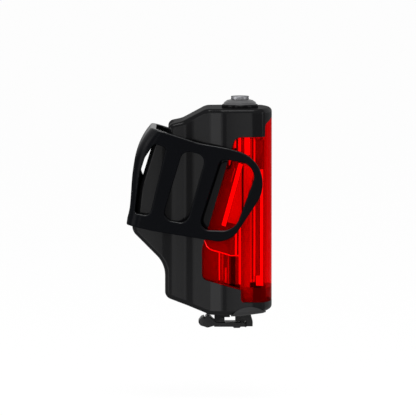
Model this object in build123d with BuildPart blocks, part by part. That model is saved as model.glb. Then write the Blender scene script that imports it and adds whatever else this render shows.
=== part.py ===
from build123d import *
from math import cos, radians, sin, tan
import os

# A strap-on bicycle rear light. Millimetres, +Z up, +X towards the rear lens, -Y towards the strap's hook.
# The origin is the middle of the saddle's rubber face, where the seatpost lies.

# Seatpost and saddle
post_tilt = 17.5
post_radius = 13.6
pad_thickness = 1.2
pad_side_gap = 3.3
pad_top = 8.5
pad_bottom = 15.5
saddle_wall = 2.0

# Housing, side view
wall = 2.0
body_top = 21.8
crown_back = 17.0
crown_radius = 5.0
chin_rise = 1.4
keel_front = 27.2
keel_front_radius = 8.0
keel_back = 18.6
keel_back_radius = 6.0
heel_back = 3.06
heel_rise = 6.2
heel_radius = 2.8
heel_height = 11.3
bulge_root_radius = 9.5
bulge_back = 8.66
bulge_drop = 19.4
bulge_radius = 4.0
wing_reach = 4.0
wing_bend_drop = 6.0
wing_bend_radius = 15.0
wing_waist_reach = 2.3
wing_waist_drop = 14.5
wing_waist_radius = 10.0
wing_top = 10.5
wing_top_radius = 2.5
neck_back = 4.1
neck_bottom = 12.9
neck_bottom_radius = 1.2
neck_top = 16.4
neck_top_radius = 2.0
shoulder_x = 8.9
shoulder_z = 17.5
shoulder_radius = 6.0

# Housing, plan view and end view
back_taper = 2.3
neck_taper = 1.0
neck_plan_x = 4.4
neck_plan_radius = 20.0
waist_taper = 2.1
waist_x = 11.3
waist_radius = 12.0
step_start_x = 18.5
step_end_x = 23.0
step_radius = 8.0
cheek_taper = 0.3
cheek_depth = 6.5
cheek_radius = 6.0
nose_taper = 2.75
front_radius = 27.5
front_corner_radius = 2.2
rim_radius = 1.5
rim_turn = 45
overrun = 5.0

# Lens
window_tilt = 16.5
window_top_gap = 9.5
window_depth = 12.6
window_top_radius = 3.0
window_back_depth = 23.86
window_back_radius = 8.0
window_corner_rise = 12.3
window_corner_radius = 2.2
window_step_depth = 10.6
window_step_rise = 8.65
window_step_radius = 0.6
window_rise = 4.4
window_bottom_radius = 1.2
arch_side = 1.9
arch_shoulder_side = 2.3
arch_shoulder_gap = 5.2
arch_top_gap = 2.6
arch_corner_radius = 2.0
arch_crown_radius = 20.0
arch_depth = 4.5
gasket_width = 1.0
gasket_lap = 0.3
gasket_depth = 1.0
sill_rise = 9.3
sill_back_gap = 0.6
sill_clear = 0.3

# Strap
strap_thickness = 2.0
strap_clear = 0.4
strap_corner_radius = 2.6
strap_slot_land = 1.8
strap_top_back = 14.6
strap_top_dip = 14.3
strap_dip_radius = 20.0
strap_dip_run = 10.0
strap_top_front = 15.6
strap_top_radius = 10.0
strap_top_run = 19.3
strap_nose_top = 16.1
strap_nose_radius = 11.5
strap_nose_reach = 8.8
strap_chin = 31.2
strap_chin_drop = 15.2
strap_chin_radius = 8.3
strap_bottom_run = 26.5
strap_bottom_drop = 19.0
strap_bottom_radius = 10.0
strap_bottom_back = 19.8
strap_heel_reach = 4.6
strap_heel_radius = 2.0
barrel_heights = (18.0, 4.0, -8.0, -15.5, -22.5)
barrel_reach = 6.2
barrel_reach_shares = (0.34, 1.02, 0.7, 0.44, 0.43)
slot_left_shares = (
    (-0.58, 0.657), (0.1, 0.647), (0.37, -0.981),
    (-0.47, -1.028), (-0.84, -0.133), (-0.84, 0.276),
)
slot_left_radii = (1.6, 1.2, 2.0, 1.0, 9.0, 4.0)
slot_far_radii = (1.6, 1.2, 2.0, 1.0, 4.0, 4.0)
slot_middle_shares = ((0.1603, 0.724), (0.3613, 0.743), (0.3786, -0.904), (0.1656, -0.971))
slot_middle_radii = (3.0, 3.0, 3.2, 3.0)
slot_hook_back_shares = (0.4885, 0.4835)
slot_hook_height_shares = (0.79, 0.895, -0.7236, -0.9616)
slot_nose_gap = 7.37
slot_chin_reach = 0.2
slot_far_foot_share = -0.32
slot_hook_radii = (2.2, 5.0, 6.0, 3.0)

# Hook that the strap's last slot drops over
hook_height = 0.9
hook_back_clear = 0.4
hook_front_clear = 1.2
hook_edge_clear = 0.6
hook_edge = 0.3

# Strap root and its pin, on the far side
pin_radius = 0.8
pin_w = 4.5
pin_clear = 0.06
knuckle_radius = 1.75
root_top = 8.0
root_bottom = 12.0
root_shoulder = 2.4
ear_thickness = 2.6
ear_clear = 0.35
ear_radius = 1.9
pin_overhang = 0.4

# Boards
board_side_gap = 2.8
led_board_thickness = 1.6
control_board_thickness = 1.2
board_roof_gap = 9.2
board_foot_gap = 1.6
spreader_thickness = 1.0
spreader_top_edge = 5.2
spreader_foot_edge = 11.0
led_count = 6
led_foot_edge = 2.8
led_top_edge = 8.2
led_width = 3.5
led_height = 1.2
led_edge = 0.3

# Optics
bezel_side_gap = 0.15
bezel_corner_radius = 1.6
bezel_depth = 3.4
optic_screw_gap = 0.8
optic_top_edge = 1.4
optic_foot_edge = 7.2
optic_rise = 7.2
optic_lens_gap = 1.7
optic_foot = 0.9
optic_foot_lip = 1.3
optic_round_radius = 6.0
optic_clear = 0.15
led_clear = 0.35
guide_thickness = 1.2
guide_gap = 0.15
guide_rib_depth = 0.8
guide_rib_count = 4
guide_rib_width = 0.7
guide_rib_back = 22.8
guide_edge = 1.6

# Bosses and the screws that hold the boards and bezel
boss_side_edge = 1.9
boss_width = 3.6
boss_top_edge = 1.8
boss_foot_edge = 2.2
boss_height = 3.6
boss_reach = 6.6
screw_radius = 0.8
screw_head_radius = 1.4
screw_head_height = 1.0
screw_grip = 4.0
spacer_radius = 1.5
spacer_length = 2.2

# Battery
cell_radius = 6.8
cell_length = 42.0
cell_back = 6.8
cell_side_gap = 4.5
cell_board_gap = 3.2
cell_top_edge = 6.0
cell_foot_edge = 9.6
sleeve_thickness = 0.2
tray_clear = 0.1
tray_wall = 1.1
tray_plate = 1.2
leg_width = 1.6
leg_depth = 4.0
tab_thickness = 0.3
tab_half_width = 2.4
tab_clear = 0.1

# Parts on the control board
chip_size = 4.0
chip_height = 0.9
charger_size = 3.0
charger_height = 0.8
inductor_size = 4.2
inductor_height = 2.0
capacitor_size = 1.6
capacitor_height = 1.0
link_pin_size = 0.6
link_pin_pitch = 1.27
link_pin_count = 5
link_pin_rise = 7.0
flex_thickness = 0.3
flex_half_width = 2.5
flex_drop = 3.0

# Charging socket and its cover
socket_width = 8.94
socket_depth = 3.26
socket_length = 7.3
socket_skin = 0.3
socket_recess = 1.1
socket_clear = 0.25
tongue_side = 1.17
tongue_depth = 0.7
tongue_recess = 1.2
tongue_root = 1.6
recess_extra = 1.5
cover_gap = 3.2
cover_thickness = 1.5
collar_drop = 1.2
collar_back = 2.1
collar_front = 3.2
collar_half_width = 6.4
lug_length = 1.8
lug_side_gap = 0.3
lug_foot_gap = 0.9
cover_side_lip = 0.13
cover_lip = 2.2
cover_reach = 8.43
cover_plug_depth = 2.0
cover_foot_reach = 1.4
cover_bump_back = 4.0
cover_bump_length = 2.3
cover_bump_depth = 0.4
cover_plug_clear = 0.2
cover_plug_shift = 1.0
cover_plug_top_gap = 0.3
finger_length = 6.3
finger_overlap = 0.8
finger_height = 4.0
finger_corner_gap = 0.6
finger_radii = (0, 1.5, 0.3, 0.3, 0.1, 0, 0.2, 0.6, 0.9, 1.2, 1.5, 0.2, 0)
plug_edge = 0.25
hinge_slit = 0.3
anchor_lap = 3.4
anchor_lead = 1.8
anchor_tail_length = 0.8
anchor_half_width = 3.0
anchor_stud_radius = 1.2

# Chin bumper
bumper_front_gap = 7.5
bumper_sink = 5.1
bumper_radius = 8.0
bumper_proud = 0.4
bumper_depth = 1.2

# Power button
button_front_gap = 10.9
button_cap_radius = 3.05
button_cap_thickness = 1.1
button_cap_edge = 0.3
button_height = 3.7
boot_base_radius = 5.7
boot_top_radius = 3.15
boot_shoulder_radius = 4.35
boot_shoulder_drop = 0.3
boot_flank_radius = 5.4
boot_flank_drop = 1.0
boot_seat = 0.5
button_pad_rise = 0.9
button_pad_margin = 0.5
button_pad_edge = 0.25
boot_wall = 0.9
boot_rim = 1.2
button_travel = 0.5
stem_radius = 1.5
stem_clear = 0.2
stem_head_radius = 2.7
stem_head_thickness = 0.5
stem_head_clear = 0.1
switch_size = 4.6
switch_height = 1.7
switch_roof_gap = 5.5
switch_board_thickness = 1.0
switch_board_half_width = 5.6
switch_screw_radius = 0.6
switch_screw_length = 2.4
switch_screw_head_radius = 1.2
switch_screw_head_height = 0.6
switch_board_half_length = 5.4
plunger_radius = 1.0
plunger_rise = 0.7
plunger_sunk = 0.5
plunger_clear = 0.15
roof_boss_radius = 1.3
roof_boss_inset = 1.6

# Worked out from those above: the housing is built round the cell, the boards and the optic
tilt_sin = sin(radians(post_tilt))
tilt_cos = cos(radians(post_tilt))
saddle_radius = post_radius + pad_thickness
body_half_width = cell_radius + cell_side_gap + wall
cell_x = cell_back + cell_radius
control_board_x = cell_x + cell_radius + cell_board_gap
board_front_x = control_board_x + control_board_thickness
led_board_x = board_front_x + spacer_length
led_face_x = led_board_x + led_board_thickness
bezel_front_x = led_face_x + bezel_depth
optic_front = led_face_x + optic_rise
body_front = optic_front + optic_lens_gap + wall

board_top = body_top - board_roof_gap
cell_top = board_top - cell_top_edge
cell_bottom = cell_top - cell_length
board_bottom = -cell_bottom + cell_foot_edge
body_drop = board_bottom + board_foot_gap + wall
board_middle = (board_top - board_bottom) / 2
board_height = board_top + board_bottom
chin_slope = chin_rise / (body_front - keel_front)
foot_front = body_drop - chin_slope * (body_front + overrun - keel_front)
reach = body_drop + body_top
heel_drop = body_drop - heel_rise
bulge_root_drop = heel_drop - heel_height

strap_nose = strap_chin + strap_nose_reach
strap_top_end = strap_nose - strap_top_run
strap_bottom_end = strap_chin - strap_bottom_run

back_half_width = body_half_width - back_taper
neck_half_width = body_half_width - neck_taper
waist_half_width = body_half_width - waist_taper
cheek_half_width = body_half_width - cheek_taper
nose_half_width = body_half_width - nose_taper
pad_half_width = back_half_width - pad_side_gap
board_half_width = body_half_width - wall - board_side_gap
bezel_half_width = cheek_half_width - wall - gasket_depth - bezel_side_gap
boss_half_width = board_half_width - boss_side_edge
optic_half_width = boss_half_width - screw_head_radius - optic_screw_gap

window_top = body_top - window_top_gap
window_top_x = body_front - window_depth
window_back = body_front - window_back_depth
window_step_x = body_front - window_step_depth
window_corner_drop = body_drop - window_corner_rise
window_step_drop = body_drop - window_step_rise
window_bottom = body_drop - window_rise
sill_drop = body_drop - sill_rise
arch_half_width = body_half_width - arch_side
arch_shoulder_half_width = body_half_width - arch_shoulder_side
arch_shoulder = body_top - arch_shoulder_gap
arch_top = body_top - arch_top_gap
arch_start_x = body_front - arch_depth

boss_top = board_top - boss_top_edge
boss_bottom = board_bottom - boss_foot_edge
spreader_top = board_top - spreader_top_edge
spreader_bottom = board_bottom - spreader_foot_edge
optic_top = board_top - optic_top_edge
optic_length = board_height - optic_top_edge - optic_foot_edge
led_first_drop = optic_length - optic_top - led_foot_edge
led_pitch = (optic_length - led_foot_edge - led_top_edge) / (led_count - 1)
link_pin_drop = board_bottom - link_pin_rise
bumper_x = body_front - bumper_front_gap
bumper_drop = body_drop + bumper_sink
button_x = body_front - button_front_gap
switch_top = body_top - switch_roof_gap

strap_inner_y = body_half_width + strap_clear
strap_outer_y = strap_inner_y + strap_thickness
strap_mid_y = strap_inner_y + strap_thickness / 2
hook_y = body_half_width + hook_height
optic_middle = optic_top - optic_length / 2
sleeve_radius = cell_radius + sleeve_thickness
tray_inner = sleeve_radius + tray_clear
tray_outer = tray_inner + tray_wall
socket_x = control_board_x - socket_depth / 2
socket_mouth = -body_drop + socket_recess
socket_corner = socket_depth / 2 - socket_skin
tongue_width = socket_width - 2 * tongue_side
cover_half_width = socket_width / 2 + cover_side_lip
finger_corner = cover_half_width - finger_corner_gap
cover_top = -body_drop - cover_gap
cover_bottom = cover_top - cover_thickness
cover_left = socket_x - cover_lip
cover_right = socket_x + cover_reach
collar_length = collar_back + collar_front
collar_bottom = -body_drop - collar_drop
lug_width = collar_half_width - cover_half_width - lug_side_gap
lug_bottom = cover_top + lug_foot_gap
anchor_left = cover_right - anchor_lap
anchor_right = cover_right + anchor_lead
anchor_tail = anchor_right + anchor_tail_length
button_top = body_top + button_height
switch_bottom = switch_top - switch_height
switch_board_bottom = switch_bottom - switch_board_thickness

# Local planes: x runs along the strap's side, y across it, z up the seatpost
post_axis_x = (tilt_cos, 0, -tilt_sin)
post_plane = Plane(origin=(0, 0, 0), x_dir=post_axis_x, z_dir=(tilt_sin, 0, tilt_cos))
strap_side = Plane(origin=(0, 0, 0), x_dir=post_axis_x, z_dir=(0, -1, 0))


def tilted(w, u):
    """Side-view X and Z of a point w along the strap and u up the seatpost."""
    return (w * tilt_cos + u * tilt_sin, -w * tilt_sin + u * tilt_cos)


def scaled(shares, width, height):
    """Points of an outline from shares of a width and a height."""
    return [(across * width, up * height) for across, up in shares]


def rounded_outline(corners):
    """Closed face from (point, radius) pairs, inside a sketch."""
    points, radii = zip(*corners)
    with BuildLine() as outline:
        FilletPolyline(points, radius=radii, close=True)
    make_face(outline.edges())


side_corners = (
    ((crown_back, body_top), crown_radius),
    ((body_front + overrun, body_top), 0),
    ((body_front + overrun, -foot_front), 0),
    ((keel_front, -body_drop), keel_front_radius),
    ((keel_back, -body_drop), keel_back_radius),
    ((heel_back, -heel_drop), heel_radius),
    ((heel_back, -bulge_root_drop), bulge_root_radius),
    ((-bulge_back, -bulge_drop), bulge_radius),
    (tilted(-wing_waist_reach, -wing_waist_drop), wing_waist_radius),
    (tilted(-wing_reach, -wing_bend_drop), wing_bend_radius),
    (tilted(-wing_reach, wing_top), wing_top_radius),
    ((neck_back, neck_bottom), neck_bottom_radius),
    ((neck_back, neck_top), neck_top_radius),
    ((shoulder_x, shoulder_z), shoulder_radius),
)
plan_corners = (
    ((-bulge_back - overrun, back_half_width), 0),
    ((neck_plan_x, neck_half_width), neck_plan_radius),
    ((waist_x, waist_half_width), waist_radius),
    ((step_start_x, neck_half_width), step_radius),
    ((step_end_x, body_half_width), step_radius),
    ((body_front - cheek_depth, cheek_half_width), cheek_radius),
    ((body_front + overrun, nose_half_width), 0),
)


def rim_edges(solid):
    """The edges where two faces of a solid meet at an angle."""
    touching = {}
    for face in solid.faces():
        for edge in face.edges():
            touching.setdefault(edge, []).append(face)
    rim = []
    for edge, (first, second) in touching.items():
        middle = edge.position_at(0.5)
        if first.normal_at(middle).get_angle(second.normal_at(middle)) > rim_turn:
            rim.append(edge)
    return rim


def envelope(inset):
    """The housing's outer form with its rounded rim, or a form that lies further in by inset."""
    with BuildPart() as form:
        with BuildSketch(Plane.XZ):
            rounded_outline(side_corners)
            if inset:
                offset(amount=-inset)
        extrude(amount=body_half_width + overrun, both=True)
        with BuildSketch(Plane.XY):
            mirrored = tuple(((x, -y), radius) for (x, y), radius in reversed(plan_corners))
            rounded_outline(plan_corners + mirrored)
            with Locations((body_front - front_radius, 0)):
                Circle(front_radius, mode=Mode.INTERSECT)
            if inset < front_corner_radius:
                fillet(vertices().sort_by(Axis.X)[-2:], front_corner_radius)
            if inset:
                offset(amount=-inset)
        extrude(amount=reach, both=True, mode=Mode.INTERSECT)
        if inset <= 0:
            fillet(rim_edges(form.part), rim_radius)
    return form.part


def window(grown):
    """The block of space that the lens takes out of the form, grown on every edge."""
    slope = tan(radians(window_tilt))
    knee = window_top - (window_top_x - window_back) / slope
    corners = (
        ((window_top_x, window_top), window_top_radius),
        ((body_front + overrun, window_top), 0),
        ((body_front + overrun, -window_bottom), 0),
        ((window_step_x, -window_bottom), window_bottom_radius),
        ((window_step_x, -window_step_drop), window_step_radius),
        ((window_back, -window_corner_drop), window_corner_radius),
        ((window_back, knee), window_back_radius),
    )
    arch = (
        ((arch_half_width, window_top - window_top_radius), 0),
        ((arch_shoulder_half_width, arch_shoulder), arch_corner_radius),
        ((0, arch_top), arch_crown_radius),
        ((-arch_shoulder_half_width, arch_shoulder), arch_corner_radius),
        ((-arch_half_width, window_top - window_top_radius), 0),
    )
    with BuildPart() as space:
        with BuildSketch(Plane.XZ):
            rounded_outline(corners)
            if grown:
                offset(amount=grown)
        extrude(amount=body_half_width + overrun, both=True)
        with BuildSketch(Plane.YZ.offset(arch_start_x - grown)):
            rounded_outline(arch)
            if grown:
                offset(amount=grown)
        extrude(amount=body_front + overrun - arch_start_x)
    return space.part


def post_rod(radius):
    """A rod about the seatpost's own axis."""
    with BuildPart() as rod:
        with BuildSketch(post_plane.offset(-reach)):
            with Locations((-post_radius, 0)):
                Circle(radius)
        extrude(amount=2 * reach)
    return rod.part


def bumper_zone():
    """The round patch under the chin that the bumper covers."""
    with BuildPart() as zone:
        with BuildSketch(Plane.XZ):
            with Locations((bumper_x, -bumper_drop)):
                Circle(bumper_radius)
        extrude(amount=body_half_width + overrun, both=True)
    return zone.part


hook_across = (
    slot_hook_back_shares[0] * strap_nose,
    strap_nose - slot_nose_gap,
    strap_chin + slot_chin_reach,
    slot_hook_back_shares[1] * strap_nose,
)
hook_up = tuple(share * strap_top_back for share in slot_hook_height_shares)
hook_corners = tuple(zip(zip(hook_across, hook_up), slot_hook_radii))


def hook_block():
    """The hook's outline, inside the strap's last slot, out to its face."""
    (back_w, top_u), (front_w, front_u) = hook_corners[0][0], hook_corners[1][0]
    (low_w, low_u), (heel_w, heel_u) = hook_corners[2][0], hook_corners[3][0]
    outline = (
        ((back_w + hook_back_clear, top_u - hook_edge_clear), slot_hook_radii[0]),
        ((front_w - hook_front_clear, front_u - hook_edge_clear), slot_hook_radii[1]),
        ((low_w - hook_front_clear, low_u + hook_edge_clear), slot_hook_radii[2]),
        ((heel_w + hook_back_clear, heel_u + hook_edge_clear), slot_hook_radii[3]),
    )
    with BuildPart() as block:
        with BuildSketch(strap_side):
            rounded_outline(outline)
        extrude(amount=hook_y)
        chamfer(block.faces().sort_by(Axis.Y)[0].edges(), hook_edge)
    return block.part


outer_form = envelope(0)
hook = hook_block()
lens_space = window(0)
board_cavity = envelope(wall)

# Rear housing: the black cup with the saddle wings, the bosses inside and the ears for the strap pin
ear_corners = (
    ((pin_w - ear_radius, body_half_width - overrun), 0),
    ((pin_w + ear_radius, body_half_width - overrun), 0),
    ((pin_w + ear_radius, strap_mid_y), 0),
    ((pin_w - ear_radius, strap_mid_y), 0),
)
ear_top = root_top + ear_clear
ear_bottom = -root_bottom - ear_clear - ear_thickness
boss_places = [(side * boss_half_width, z) for z in (boss_top, -boss_bottom) for side in (-1, 1)]
wall_places = [(y + (overrun if y > 0 else -overrun) / 2, z) for y, z in boss_places]
roof_inner = body_top - wall
pad_face = body_top + button_pad_rise
boot_foot = pad_face - boot_seat
roof_boss_places = [
    (
        button_x + along * (switch_board_half_length - roof_boss_inset),
        across * (switch_board_half_width - roof_boss_inset),
    )
    for along in (-1, 1)
    for across in (-1, 1)
]
anchor_x = (anchor_left + anchor_right) / 2
chin_pocket_form = envelope(bumper_depth)
chin_zone = bumper_zone()

with BuildPart() as cavity:
    add(board_cavity)
    add(post_rod(saddle_radius + saddle_wall), mode=Mode.SUBTRACT)

with BuildPart() as bosses:
    with BuildSketch(Plane.YZ.offset(control_board_x)):
        with Locations(boss_places):
            Rectangle(boss_width, boss_height)
    extrude(amount=-boss_reach)
    with BuildSketch(Plane.YZ.offset(control_board_x)):
        with Locations(wall_places):
            Rectangle(overrun, boss_height)
    extrude(amount=-boss_reach / 2)
    add(envelope(wall / 2), mode=Mode.INTERSECT)
    with BuildSketch(Plane.YZ.offset(control_board_x)):
        with Locations(boss_places):
            Circle(screw_radius)
    extrude(amount=-screw_grip, mode=Mode.SUBTRACT)

with BuildPart() as sill_relief:
    add(window(gasket_width - gasket_lap + sill_clear))
    add(envelope(wall + gasket_depth + sill_clear), mode=Mode.SUBTRACT)

with BuildPart() as sill:
    with BuildSketch(Plane.XZ):
        with Locations((bezel_front_x + sill_back_gap, -sill_drop)):
            Rectangle(body_front, body_drop - sill_drop, align=(Align.MIN, Align.MAX))
    extrude(amount=bezel_half_width, both=True)
    add(envelope(wall / 2), mode=Mode.INTERSECT)
    add(sill_relief.part, mode=Mode.SUBTRACT)

with BuildPart() as chin_pocket:
    add(chin_zone)
    add(chin_pocket_form, mode=Mode.SUBTRACT)

with BuildPart() as rear_housing:
    add(outer_form)
    add(hook)
    for height in (ear_top, ear_bottom):
        with BuildSketch(post_plane.offset(height)):
            rounded_outline(ear_corners)
            with Locations((pin_w, strap_mid_y)):
                Circle(ear_radius)
        extrude(amount=ear_thickness)
    add(cavity.part, mode=Mode.SUBTRACT)
    add(post_rod(saddle_radius), mode=Mode.SUBTRACT)
    add(lens_space, mode=Mode.SUBTRACT)
    add(sill.part)
    add(chin_pocket.part, mode=Mode.SUBTRACT)
    add(bosses.part)
    with BuildSketch(Plane.XY.offset(collar_bottom)):
        with Locations((socket_x - collar_back, 0)):
            Rectangle(collar_length, 2 * collar_half_width, align=(Align.MIN, Align.CENTER))
    extrude(amount=collar_drop + wall / 2)
    with BuildSketch(Plane.XY.offset(lug_bottom)):
        with Locations((socket_x - collar_back, 0)):
            with GridLocations(0, 2 * collar_half_width - lug_width, 1, 2):
                Rectangle(lug_length, lug_width, align=(Align.MIN, Align.CENTER))
    extrude(amount=collar_bottom - lug_bottom)
    with BuildSketch(Plane.XY.offset(switch_bottom)):
        with Locations(roof_boss_places):
            Circle(roof_boss_radius)
    extrude(amount=roof_inner - switch_bottom)
    with BuildSketch(Plane.XY.offset(switch_bottom)):
        with Locations(roof_boss_places):
            Circle(switch_screw_radius)
    extrude(amount=switch_screw_length, mode=Mode.SUBTRACT)
    with BuildSketch(post_plane.offset(ear_bottom)):
        with Locations((pin_w, strap_mid_y)):
            Circle(pin_radius)
    extrude(amount=ear_top - ear_bottom + ear_thickness, mode=Mode.SUBTRACT)
    with BuildSketch(Plane.XY.offset(roof_inner)):
        with Locations((button_x, 0)):
            Circle(boot_base_radius + button_pad_margin)
    extrude(amount=pad_face - roof_inner)
    chamfer(rear_housing.faces().sort_by(Axis.Z)[-1].edges(), button_pad_edge)
    with BuildSketch(Plane.XY.offset(boot_foot)):
        with Locations((button_x, 0)):
            Circle(boot_base_radius)
    extrude(amount=overrun, mode=Mode.SUBTRACT)
    with BuildSketch(Plane.XY.offset(roof_inner)):
        with Locations((button_x, 0)):
            Circle(stem_radius + stem_clear)
    extrude(amount=boot_foot - roof_inner, mode=Mode.SUBTRACT)
    with BuildSketch(Plane.XY.offset(-body_drop - overrun)):
        with Locations((socket_x - recess_extra / 2, 0)):
            Rectangle(socket_depth + 2 * socket_clear + recess_extra, socket_width + 2 * socket_clear)
    extrude(amount=overrun + socket_recess, mode=Mode.SUBTRACT)
    with BuildSketch(Plane.XY.offset(-body_drop)):
        with Locations((socket_x, 0)):
            RectangleRounded(socket_depth, socket_width, socket_corner)
    extrude(amount=socket_length + socket_recess, mode=Mode.SUBTRACT)
    with BuildSketch(Plane.XY.offset(-body_drop)):
        with Locations((anchor_x, 0)):
            Circle(anchor_stud_radius)
    extrude(amount=wall, mode=Mode.SUBTRACT)
rear_housing.part.label = "rear_housing"

# Lens: the clear red shell that wraps the front and both sides
with BuildPart() as lens:
    add(outer_form)
    add(hook)
    add(board_cavity, mode=Mode.SUBTRACT)
    add(lens_space, mode=Mode.INTERSECT)
lens.part.label = "lens"

# Lens gasket: a band behind the seam between the lens and the housing
with BuildPart() as lens_gasket:
    add(board_cavity)
    add(envelope(wall + gasket_depth), mode=Mode.SUBTRACT)
    add(window(gasket_width - gasket_lap), mode=Mode.INTERSECT)
    add(window(-gasket_lap), mode=Mode.SUBTRACT)
lens_gasket.part.label = "lens_gasket"

# Saddle pad: the rubber lining of the saddle
with BuildPart() as saddle_pad:
    with BuildSketch(post_plane.offset(-pad_bottom)):
        with Locations((-post_radius, 0)):
            Circle(saddle_radius)
            Circle(post_radius, mode=Mode.SUBTRACT)
        with Locations((0, 0)):
            Rectangle(saddle_radius, 2 * pad_half_width, mode=Mode.INTERSECT)
    extrude(amount=pad_top + pad_bottom)
saddle_pad.part.label = "saddle_pad"

# Chin bumper: the grey rubber pad under the front
with BuildPart() as chin_bumper:
    add(envelope(-bumper_proud))
    add(chin_pocket_form, mode=Mode.SUBTRACT)
    add(chin_zone, mode=Mode.INTERSECT)
    with BuildSketch(Plane.XY.offset(-body_drop - overrun)):
        with Locations((anchor_x, 0)):
            Circle(anchor_stud_radius)
    extrude(amount=2 * overrun, mode=Mode.SUBTRACT)
chin_bumper.part.label = "chin_bumper"

# Strap: a rubber ladder strap, wrapped from the pin on the far side round the back to the hook
strap_outline = (
    ((-strap_nose, strap_top_back), 0),
    ((strap_top_end - strap_dip_run, strap_top_dip), strap_dip_radius),
    ((strap_top_end, strap_top_front), strap_top_radius),
    ((strap_nose, strap_nose_top), strap_nose_radius),
    ((strap_chin, -strap_chin_drop), strap_chin_radius),
    ((strap_bottom_end, -strap_bottom_drop), strap_bottom_radius),
    ((-strap_heel_reach, -strap_bottom_back), strap_heel_radius),
    ((-strap_nose, 0), 0),
)
slot_left = tuple(zip(scaled(slot_left_shares, barrel_reach, strap_top_back), slot_left_radii))
slot_middle = tuple(zip(scaled(slot_middle_shares, strap_nose, strap_top_back), slot_middle_radii))
far_slot_limit = root_shoulder - strap_slot_land
far_slot_foot = slot_far_foot_share * strap_top_back
slot_far = tuple(
    ((min(w, far_slot_limit), max(u, far_slot_foot)), radius)
    for ((w, u), _), radius in zip(slot_left, slot_far_radii)
)
corner_y = strap_inner_y - strap_corner_radius

with BuildPart() as strap:
    for height, share in zip(barrel_heights, barrel_reach_shares):
        back = -barrel_reach * share
        outer_back = back - strap_thickness
        outer_corner = strap_corner_radius + strap_thickness
        section_corners = (
            ((strap_nose, -strap_outer_y), 0),
            ((outer_back, -strap_outer_y), outer_corner),
            ((outer_back, strap_outer_y), outer_corner),
            ((pin_w, strap_outer_y), 0),
            ((pin_w, strap_inner_y), 0),
            ((back, strap_inner_y), strap_corner_radius),
            ((back, -strap_inner_y), strap_corner_radius),
            ((strap_nose, -strap_inner_y), 0),
        )
        with BuildSketch(post_plane.offset(height)):
            rounded_outline(section_corners)
    loft()
    with BuildSketch(strap_side):
        rounded_outline(strap_outline)
    extrude(amount=strap_outer_y + overrun, both=True, mode=Mode.INTERSECT)
    with BuildSketch(strap_side.offset(corner_y)):
        rounded_outline(slot_left)
        rounded_outline(slot_middle)
        rounded_outline(hook_corners)
    extrude(amount=strap_outer_y, mode=Mode.SUBTRACT)
    with BuildSketch(strap_side.offset(-corner_y)):
        rounded_outline(slot_far)
    extrude(amount=-strap_outer_y, mode=Mode.SUBTRACT)
    for edge, way in ((root_top, 1), (-root_bottom, -1)):
        with BuildSketch(post_plane.offset(edge)):
            with Locations((root_shoulder, corner_y)):
                Rectangle(strap_nose, strap_outer_y, align=(Align.MIN, Align.MIN))
        extrude(amount=way * reach, mode=Mode.SUBTRACT)
    with BuildSketch(post_plane.offset(-root_bottom)):
        with Locations((pin_w, strap_mid_y)):
            Circle(knuckle_radius)
    extrude(amount=root_top + root_bottom)
    with BuildSketch(post_plane.offset(-root_bottom)):
        with Locations((pin_w, strap_mid_y)):
            Circle(pin_radius + pin_clear)
    extrude(amount=root_top + root_bottom, mode=Mode.SUBTRACT)
strap.part.label = "strap"

# Strap pin
with BuildPart() as strap_pin:
    with BuildSketch(post_plane.offset(ear_bottom - pin_overhang)):
        with Locations((pin_w, strap_mid_y)):
            Circle(pin_radius)
    extrude(amount=ear_top - ear_bottom + ear_thickness + 2 * pin_overhang)
strap_pin.part.label = "strap_pin"

# Control board and LED board, with the screws that run through them into the bosses
with BuildPart() as control_board:
    with BuildSketch(Plane.YZ.offset(control_board_x)):
        with Locations((0, board_middle)):
            Rectangle(2 * board_half_width, board_height)
        with Locations(boss_places):
            Circle(screw_radius, mode=Mode.SUBTRACT)
    extrude(amount=control_board_thickness)
control_board.part.label = "control_board"

with BuildPart() as led_board:
    with BuildSketch(Plane.YZ.offset(led_board_x)):
        with Locations((0, board_middle)):
            Rectangle(2 * board_half_width, board_height)
        with Locations(boss_places):
            Circle(screw_radius, mode=Mode.SUBTRACT)
    extrude(amount=led_board_thickness)
led_board.part.label = "led_board"

with BuildPart() as board_spacers:
    with BuildSketch(Plane.YZ.offset(board_front_x)):
        with Locations(boss_places):
            Circle(spacer_radius)
            Circle(screw_radius, mode=Mode.SUBTRACT)
    extrude(amount=led_board_x - board_front_x)
board_spacers.part.label = "board_spacers"

with BuildPart() as heat_spreader:
    with BuildSketch(Plane.YZ.offset(led_board_x)):
        with Locations((0, (spreader_top - spreader_bottom) / 2)):
            Rectangle(2 * board_half_width, spreader_top + spreader_bottom)
    extrude(amount=-spreader_thickness)
heat_spreader.part.label = "heat_spreader"

leds = []
for index in range(led_count):
    with BuildPart() as led:
        with BuildSketch(Plane.YZ.offset(led_face_x)):
            with Locations((0, -led_first_drop + index * led_pitch)):
                Rectangle(led_width, led_width)
        extrude(amount=led_height)
        chamfer(led.faces().sort_by(Axis.X)[-1].edges(), led_edge)
    led.part.label = f"led_{index + 1}"
    leds.append(led.part)

with BuildPart() as bezel:
    with BuildSketch(Plane.YZ.offset(led_face_x)):
        with Locations((0, board_middle)):
            RectangleRounded(2 * bezel_half_width, board_height, bezel_corner_radius)
        with Locations((0, optic_middle)):
            Rectangle(
                2 * (optic_half_width + optic_clear), optic_length + 2 * optic_clear, mode=Mode.SUBTRACT
            )
        with Locations(boss_places):
            Circle(screw_radius, mode=Mode.SUBTRACT)
    extrude(amount=bezel_depth)
    with BuildSketch(Plane.YZ.offset(bezel_front_x)):
        with Locations(boss_places):
            Circle(screw_head_radius)
    extrude(amount=-screw_head_height, mode=Mode.SUBTRACT)
bezel.part.label = "reflector_bezel"

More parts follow.
